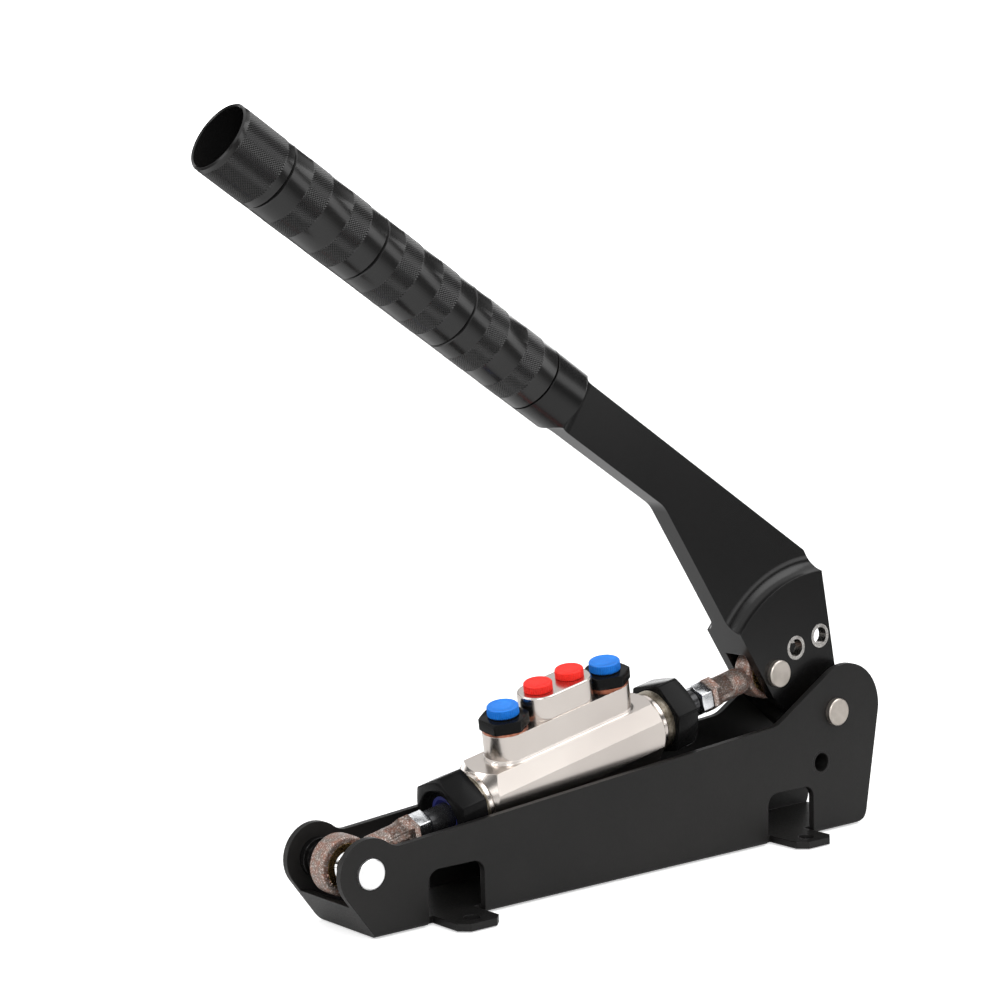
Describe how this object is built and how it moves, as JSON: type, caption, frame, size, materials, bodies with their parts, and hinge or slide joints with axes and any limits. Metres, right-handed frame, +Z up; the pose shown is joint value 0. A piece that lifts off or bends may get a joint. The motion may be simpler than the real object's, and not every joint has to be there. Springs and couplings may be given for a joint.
{
  "type": "parking brake lever",
  "caption": "Hydraulic parking brake lever: folded steel base, pivoted lever with round grip, and a twin-rod pull cylinder between base and lever.",
  "frame": {"origin": "centre of the four fixing holes, on the underside of the base", "axes": "+X from the front pin towards the lever pivot, +Y to the side of the pins' clips, +Z up; the grip points forward and up"},
  "size_m": [0.3427, 0.0764, 0.328],
  "materials": {
    "base_black": "satin powder coat",
    "lever_black": "satin coat",
    "grip_black": "black anodised",
    "pin_steel": "faced",
    "spring_steel": "plain",
    "ball_steel": "polished",
    "zinc_steel": "bright zinc",
    "bush_steel": "turned",
    "bearing_bronze": "plain",
    "body_aluminium": "satin",
    "nut_black": "gloss black anodised",
    "guide_aluminium": "turned",
    "wiper_blue": "matt",
    "washer_copper": "copper",
    "cap_blue": "moulded",
    "cap_red": "moulded",
    "rod_black": "black",
    "seal_rubber": "matt",
    "rod_end_cast": "rough, rusty brown"
  },
  "bodies": {
    "base": {"base_frame": "base_black", "side_tube": "base_black", "front_pin": "pin_steel", "front_pin_clip": "spring_steel", "front_ball": "ball_steel", "front_spacer_near": "base_black", "front_spacer_far": "base_black", "pivot_pin": "pin_steel", "pivot_pin_clip": "spring_steel"},
    "lever": {"lever_arm": "lever_black", "grip_tube": "grip_black", "lower_fork_bushes": "bush_steel", "middle_fork_bushes": "bush_steel", "upper_fork_bushes": "bush_steel", "pivot_bushes": "bearing_bronze", "pivot_spacer": "zinc_steel", "lever_pin": "pin_steel", "lever_pin_clip": "spring_steel", "rear_ball": "ball_steel"},
    "front_rod": {"front_rod_end": "rod_end_cast", "front_rod_end_liner": "bearing_bronze", "front_lock_nut": "zinc_steel", "front_rod": "rod_black", "front_piston": "guide_aluminium", "front_piston_seal": "seal_rubber", "front_return_spring": "spring_steel"},
    "cylinder": {"cylinder_body": "body_aluminium", "front_gland_nut": "nut_black", "front_rod_guide": "guide_aluminium", "front_rod_wiper": "wiper_blue", "front_inlet_washer": "washer_copper", "front_inlet_adaptor": "nut_black", "front_inlet_cap": "cap_blue", "front_outlet_cap": "cap_red", "rear_gland_nut": "nut_black", "rear_rod_guide": "guide_aluminium", "rear_rod_wiper": "wiper_blue", "rear_inlet_washer": "washer_copper", "rear_inlet_adaptor": "nut_black", "rear_inlet_cap": "cap_blue", "rear_outlet_cap": "cap_red"},
    "rear_rod": {"rear_rod_end": "rod_end_cast", "rear_rod_end_liner": "bearing_bronze", "rear_lock_nut": "zinc_steel", "rear_rod": "rod_black", "rear_piston": "guide_aluminium", "rear_piston_seal": "seal_rubber", "rear_return_spring": "spring_steel"}
  },
  "joints": [
    {"name": "lever_pull", "type": "hinge", "parent": "base", "child": "lever", "pos_m": [0.12375, 0, 0.0546], "axis": [0, 1, 0], "range_deg": [0, 18], "stiffness_Nm_per_rad": 5, "springref_deg": -17.19},
    {"name": "front_pivot", "type": "hinge", "parent": "base", "child": "front_rod", "pos_m": [-0.13715, 0, 0.0267], "axis": [0, 1, 0], "range_deg": [-2, 0]},
    {"name": "front_stroke", "type": "slide", "parent": "front_rod", "child": "cylinder", "axis": [0.9796, 0, 0.2008], "range_m": [0, 0.005]},
    {"name": "rear_stroke", "type": "slide", "parent": "cylinder", "child": "rear_rod", "axis": [0.9796, 0, 0.2008], "range_m": [0, 0.005]}
  ],
  "couplings": [
    {"joint": "front_pivot", "follows": "lever_pull", "ratio": -0.07854},
    {"joint": "front_stroke", "follows": "lever_pull", "m_per_rad": 0.013945},
    {"joint": "rear_stroke", "follows": "lever_pull", "m_per_rad": 0.013945}
  ]
}
